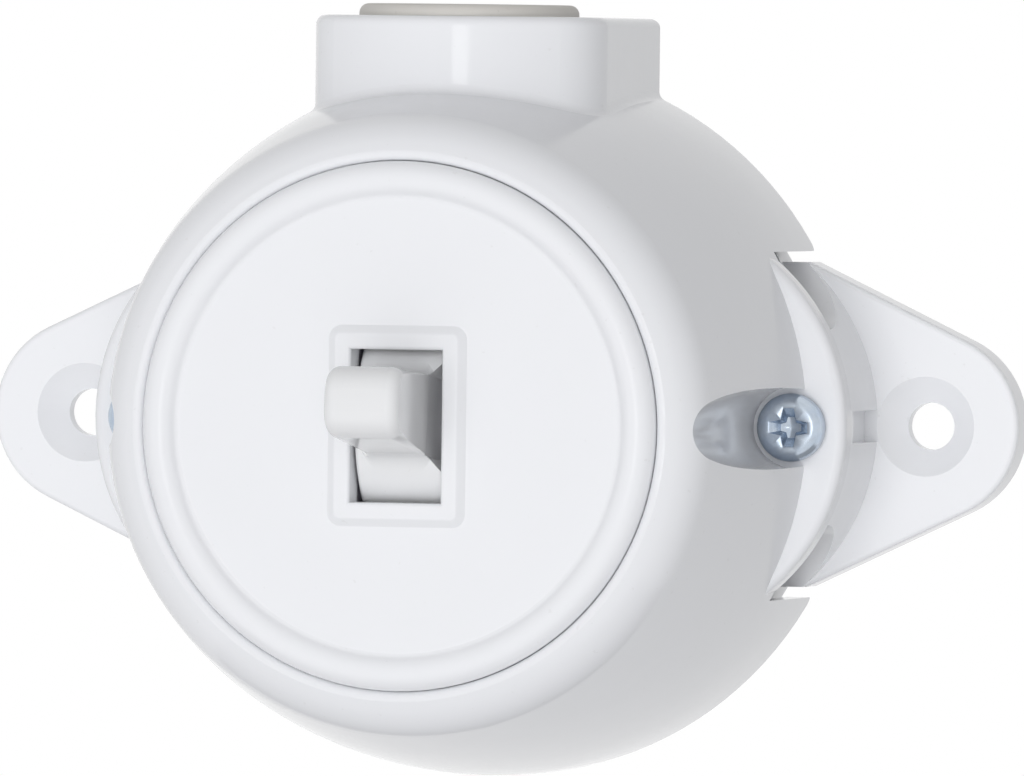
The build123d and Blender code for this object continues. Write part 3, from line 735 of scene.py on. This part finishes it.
@dataclass
class CrossScrews:
    """Pan-head screws of one size with a cross recess and a thread."""

    name: str
    nodes: list[str]
    facing: Facing
    head_height: float
    shank_radius: float
    recess_span: float
    recess_width: float
    recess_depth: float
    pitch: float
    finish: Finishes = Finishes.ZINC
    body: str = "housing"
    slot: str = "zinc_steel"
    steps: int = 72
    crown_share: float = 0.42
    crown_spread: float = 1.25
    crown_drop_share: float = 0.03
    crown_steps: int = 8
    edge_share: float = 0.09
    bevel_share: float = 0.03
    bevel_segments: int = 2
    bevel_angle: float = 40.0
    smooth_angle: float = 35.0
    point_share: float = 0.45
    point_length_share: float = 0.6
    thread_depth_share: float = 0.42
    thread_length_share: float = 0.62
    thread_stop_share: float = 0.7
    recess_top_share: float = 1.2
    recess_top_flare: tuple[float, float] = (1.06, 1.04)
    recess_floor_taper: tuple[float, float] = (0.52, 0.62)
    recess_end_share: float = 0.86
    recess_corner_share: float = 1.25
    recess_point_share: float = 0.18

    def __post_init__(self) -> None:
        """Takes the seats, the head's radius and the shank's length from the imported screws."""
        self.seats: list[Point] = []
        for node in self.nodes:
            low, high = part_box(node)
            seat = low[1] + self.head_height if self.facing is Facing.FRONT else high[1] - self.head_height
            self.seats.append(((low[0] + high[0]) / 2, seat, (low[2] + high[2]) / 2))
            self.head_radius = (high[0] - low[0]) / 2
            self.length = high[1] - low[1] - self.head_height

    @property
    def core_radius(self) -> float:
        """Radius at the root of the thread."""
        return self.shank_radius - self.thread_depth

    @property
    def thread_depth(self) -> float:
        """Height of the thread over its root."""
        return self.thread_depth_share * self.pitch

    def outline(self) -> list[tuple[float, float]]:
        """Returns the half outline of the blank, as radius and height from the seat."""
        crown = self.head_height * self.crown_share
        crown_drop = self.crown_drop_share * self.head_height
        edge = self.edge_share * self.head_height
        points = [(0.0, self.head_height)]
        for step in range(self.crown_steps + 1):
            angle = math.radians(90 - 90 * step / self.crown_steps)
            points.append(
                (
                    self.head_radius - crown * self.crown_spread * (1 - math.cos(angle)),
                    self.head_height - crown * (1 - math.sin(angle)) - crown_drop,
                )
            )
        points += [
            (self.head_radius, edge),
            (self.head_radius - edge, 0.0),
            (self.core_radius, 0.0),
            (self.core_radius, -self.length + self.point_length_share * self.shank_radius),
            (self.point_share * self.shank_radius, -self.length),
            (0.0, -self.length),
        ]
        return points

    def blank(self) -> bpy.types.Object:
        """Turns the blank and cuts its cross recess.

        Returns:
            The blank, head up, with its seat at the origin.
        """
        mesh = bpy.data.meshes.new(f"{self.name}_blank")
        work = bmesh.new()
        rings = []
        for radius, height in self.outline():
            if radius == 0.0:
                rings.append([work.verts.new((0.0, 0.0, height))])
                continue
            ring = []
            for step in range(self.steps):
                angle = 2 * math.pi * step / self.steps
                ring.append(work.verts.new((radius * math.cos(angle), radius * math.sin(angle), height)))
            rings.append(ring)
        for upper, lower in zip(rings, rings[1:]):
            for step in range(self.steps):
                after = (step + 1) % self.steps
                corners = [upper[step % len(upper)], lower[step % len(lower)]]
                corners += [lower[after % len(lower)], upper[after % len(upper)]]
                work.faces.new(list(dict.fromkeys(corners)))
        bmesh.ops.recalc_face_normals(work, faces=work.faces)
        work.to_mesh(mesh)
        work.free()
        whole = link(bpy.data.objects.new(f"{self.name}_blank", mesh))
        cutter = self.cutter()
        cut = whole.modifiers.new("recess", "BOOLEAN")
        cut.object = cutter
        cut.operation = "DIFFERENCE"
        cut.solver = "EXACT"
        edge = whole.modifiers.new("edge", "BEVEL")
        edge.width = self.bevel_share * self.head_height
        edge.segments = self.bevel_segments
        edge.limit_method = "ANGLE"
        edge.angle_limit = math.radians(self.bevel_angle)
        finished = plain_mesh(whole, f"{self.name}_blank_cut")
        bpy.data.objects.remove(whole)
        bpy.data.objects.remove(cutter)
        finished.set_sharp_from_angle(angle=math.radians(self.smooth_angle))
        return link(bpy.data.objects.new(f"{self.name}_blank_cut", finished))

    def cutter(self) -> bpy.types.Object:
        """Builds the tapered cross that is cut out of the head.

        Returns:
            The cutter.
        """
        work = bmesh.new()
        rings = []
        bottom = self.head_height - self.recess_depth
        levels = (
            (self.head_height * self.recess_top_share, *self.recess_top_flare),
            (self.head_height, 1.0, 1.0),
            (bottom, *self.recess_floor_taper),
        )
        for height, share, thin in levels:
            reach = self.recess_span / 2 * share
            half = self.recess_width / 2 * thin
            end, corner = half * self.recess_end_share, half * self.recess_corner_share
            ring = []
            for quarter in range(4):
                turn = Matrix.Rotation(math.radians(90 * quarter), 3, "Z")
                for x, y in ((reach, -end), (reach, end), (corner, corner)):
                    ring.append(work.verts.new(turn @ Vector((x, y, height))))
            rings.append(ring)
        for upper, lower in zip(rings, rings[1:]):
            for step in range(len(upper)):
                after = (step + 1) % len(upper)
                work.faces.new((upper[step], lower[step], lower[after], upper[after]))
        work.faces.new(rings[0])
        point = work.verts.new((0.0, 0.0, bottom - self.recess_point_share * self.recess_depth))
        for step in range(len(rings[-1])):
            work.faces.new((rings[-1][step], rings[-1][(step + 1) % len(rings[-1])], point))
        bmesh.ops.recalc_face_normals(work, faces=work.faces)
        mesh = bpy.data.meshes.new(f"{self.name}_cutter")
        work.to_mesh(mesh)
        work.free()
        return link(bpy.data.objects.new(f"{self.name}_cutter", mesh))

    def build(self) -> bpy.types.Object:
        """Sets a threaded screw on each seat.

        Returns:
            The screws as one piece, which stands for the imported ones.
        """
        blank = self.blank()
        points = bpy.data.meshes.new(f"{self.name}_seats")
        points.from_pydata(self.seats, [], [])
        holder = link(bpy.data.objects.new(f"{self.name}_seats", points))
        modifier = holder.modifiers.new("screws", "NODES")
        tree = ThreadedScrews().tree()
        modifier.node_group = tree
        thread_length = self.length * self.thread_length_share
        values = {
            "Blank": blank,
            "Turn": (self.facing.value, 0.0, 0.0),
            "Thread Radius": self.core_radius,
            "Thread Depth": self.thread_depth,
            "Thread Length": thread_length,
            "Thread End": -self.length + self.shank_radius * self.thread_stop_share,
            "Turns": thread_length / self.pitch,
            "Finish": self.finish.material,
        }
        for socket in tree.interface.items_tree:
            if socket.in_out == "INPUT" and socket.name in values:
                modifier[socket.identifier] = values[socket.name]
        mesh = plain_mesh(holder, self.name)
        bpy.data.objects.remove(holder)
        bpy.data.objects.remove(blank)
        piece = link(bpy.data.objects.new(self.name, mesh))
        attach(piece, self.body)
        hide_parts(*self.nodes)
        log.info("%s: %d screws, %d faces", self.name, len(self.seats), len(mesh.polygons))
        return piece


def link(thing: bpy.types.Object) -> bpy.types.Object:
    """Puts an object into the scene and returns it."""
    bpy.context.scene.collection.objects.link(thing)
    return thing


def plain_mesh(thing: bpy.types.Object, name: str) -> bpy.types.Mesh:
    """Reads an object with its modifiers as one plain mesh.

    Args:
        thing: The object.
        name: The mesh's name.

    Returns:
        The plain mesh.
    """
    depsgraph = bpy.context.evaluated_depsgraph_get()
    depsgraph.update()
    mesh = bpy.data.meshes.new_from_object(thing.evaluated_get(depsgraph))
    mesh.name = name
    return mesh


@dataclass(frozen=True)
class SoftBox:
    """A soft patch of light on the sky: its place as seen from the switch, in degrees, and its strength."""

    azimuth: float
    elevation: float
    strength: float
    outer: float = 30.0
    inner: float = 5.0

    @property
    def way(self) -> Vector:
        """Direction from the switch to the patch."""
        turn, rise = math.radians(self.azimuth), math.radians(self.elevation)
        return Vector((math.sin(turn) * math.cos(rise), -math.cos(turn) * math.cos(rise), math.sin(rise)))

    def glow(self, sheet: NodeSheet, way: bpy.types.NodeSocket) -> bpy.types.NodeSocket:
        """Lays the nodes of the patch.

        Args:
            sheet: The world's nodes.
            way: The direction that a ray goes.

        Returns:
            The patch's strength in that direction.
        """
        facing = sheet.add("ShaderNodeVectorMath", operation="DOT_PRODUCT")
        sheet.fill(facing, way, self.way)
        edges = [math.cos(math.radians(angle)) for angle in (self.outer, self.inner)]
        return sheet.ramp(facing.outputs["Value"], *edges, 0.0, self.strength)


@dataclass
class Studio:
    """Camera, soft light, pale floor and white background."""

    yaw: float = 14.70
    pitch: float = 1.05
    roll: float = 0.68
    distance: float = 2.0
    focal_pixels: float = 17021.0
    picture_width: float = 1024.0
    sensor_width: float = 36.0
    view_end: float = 20.0
    target: Point = (0.00637, -0.025, 0.00413)
    floor_height: float = -0.50
    floor_half: float = 0.60
    floor_front: float = -0.50
    floor_back: float = 0.50
    floor_colours: tuple[Colour, Colour] = ((0.86, 0.86, 0.865), (0.88, 0.88, 0.885))
    floor_cloud_scale: float = 3.0
    floor_cloud_band: tuple[float, float] = (0.2, 0.8)
    floor_roughness: float = 0.6
    lamp_place: Point = (-0.05, -1.9, 0.0)
    lamp_side: float = 0.30
    lamp_power: float = 0.6
    light_colour: Colour = (0.985, 0.987, 1.0)
    even_light: float = 0.46
    soft_boxes: tuple[SoftBox, ...] = (
        SoftBox(azimuth=0.0, elevation=0.0, strength=3.1),
        SoftBox(azimuth=0.0, elevation=-30.0, strength=1.0),
    )

    def build(self) -> None:
        """Builds the studio."""
        self.camera()
        self.world()
        self.floor()
        self.lamp()

    def camera(self) -> None:
        """Sets the camera at the photograph's angle."""
        yaw, pitch, roll = (math.radians(angle) for angle in (self.yaw, self.pitch, self.roll))
        back = Vector(
            (math.sin(yaw) * math.cos(pitch), -math.cos(yaw) * math.cos(pitch), math.sin(pitch))
        )
        right = Vector((math.cos(yaw), math.sin(yaw), 0.0))
        up = back.cross(right)
        turned_right = right * math.cos(roll) + up * math.sin(roll)
        turned_up = up * math.cos(roll) - right * math.sin(roll)
        data = bpy.data.cameras.new("camera")
        data.sensor_width = self.sensor_width
        data.lens = self.focal_pixels / self.picture_width * self.sensor_width
        data.clip_end = self.view_end
        camera = link(bpy.data.objects.new("camera", data))
        axes = Matrix((turned_right, turned_up, back)).transposed().to_4x4()
        camera.matrix_world = Matrix.Translation(Vector(self.target) + back * self.distance) @ axes
        bpy.context.scene.camera = camera

    def world(self) -> None:
        """Makes a white background, an even light from all round and soft patches of light in front."""
        world = bpy.data.worlds.new("sky")
        world.use_nodes = True
        bpy.context.scene.world = world
        sheet = NodeSheet(world.node_tree)
        way = sheet.add("ShaderNodeTexCoord").outputs["Generated"]
        strength = self.even_light
        for box in self.soft_boxes:
            strength = sheet.maths("ADD", box.glow(sheet, way), strength)
        light = world.node_tree.nodes["Background"]
        sheet.feed(light, Color=rgba(self.light_colour), Strength=strength)
        white = sheet.add("ShaderNodeBackground")
        sheet.feed(white, Color=(1.0, 1.0, 1.0, 1.0), Strength=1.0)
        rays = sheet.add("ShaderNodeLightPath").outputs
        seen = sheet.maths("MAXIMUM", rays["Is Camera Ray"], rays["Is Glossy Ray"])
        seen = sheet.maths("MAXIMUM", seen, rays["Is Transmission Ray"])
        blend = sheet.add("ShaderNodeMixShader")
        sheet.fill(blend, seen, light.outputs["Background"], white.outputs["Background"])
        output = world.node_tree.nodes["World Output"]
        sheet.put(output.inputs["Surface"], blend.outputs["Shader"])

    def floor(self) -> None:
        """Lays a plain pale floor under the switch."""
        half, height = self.floor_half, self.floor_height
        mesh = bpy.data.meshes.new("floor")
        corners = [
            (-half, self.floor_front, height),
            (half, self.floor_front, height),
            (half, self.floor_back, height),
            (-half, self.floor_back, height),
        ]
        mesh.from_pydata(corners, [], [(0, 1, 2, 3)])
        material, sheet, shader = start_material("floor_white")
        place = sheet.add("ShaderNodeTexCoord").outputs["Object"]
        clouds = sheet.noise(place, self.floor_cloud_scale, detail=2.0)
        tone = sheet.ramp(clouds, *self.floor_cloud_band)
        colour = sheet.mix(tone, *(rgba(shade) for shade in self.floor_colours))
        sheet.feed(shader, Base_Color=colour, Roughness=self.floor_roughness)
        mesh.materials.append(material)
        link(bpy.data.objects.new("floor", mesh))

    def lamp(self) -> None:
        """Hangs a square lamp in front that looks at the switch."""
        data = bpy.data.lights.new("front_lamp", "AREA")
        data.shape = "SQUARE"
        data.size = self.lamp_side
        data.energy = self.lamp_power
        lamp = link(bpy.data.objects.new("front_lamp", data))
        place = Vector(self.lamp_place)
        turn = (place - Vector(self.target)).to_track_quat("Z", "Y").to_matrix().to_4x4()
        lamp.matrix_world = Matrix.Translation(place) @ turn


def screw_sets() -> list[CrossScrews]:
    """Returns the screws of the switch, one set for each size and place."""
    small = dict(
        facing=Facing.WALL,
        head_height=2.2 * MM,
        shank_radius=1.5 * MM,
        recess_span=3.2 * MM,
        recess_width=1.0 * MM,
        recess_depth=1.3 * MM,
        pitch=0.7 * MM,
    )
    return [
        CrossScrews(
            name="cover_screws",
            nodes=["cover_screw_left", "cover_screw_right"],
            facing=Facing.FRONT,
            head_height=2.4 * MM,
            shank_radius=2.0 * MM,
            recess_span=4.7 * MM,
            recess_width=1.5 * MM,
            recess_depth=1.5 * MM,
            pitch=0.9 * MM,
        ),
        CrossScrews(name="frame_screws", nodes=["frame_screw_top", "frame_screw_bottom"], **small),
        CrossScrews(name="terminal_screws", nodes=["line_terminal_screw", "load_terminal_screw"], **small),
    ]


def main() -> None:
    """Builds the switch and its studio in order."""
    logging.basicConfig(level=logging.INFO, format="%(name)s: %(message)s")
    bpy.context.scene.view_settings.view_transform = "Standard"
    Studio().build()
    Enclosure().build()
    LeverWorks().build()
    for screws in screw_sets():
        screws.build()


if __name__ == "__main__":
    main()
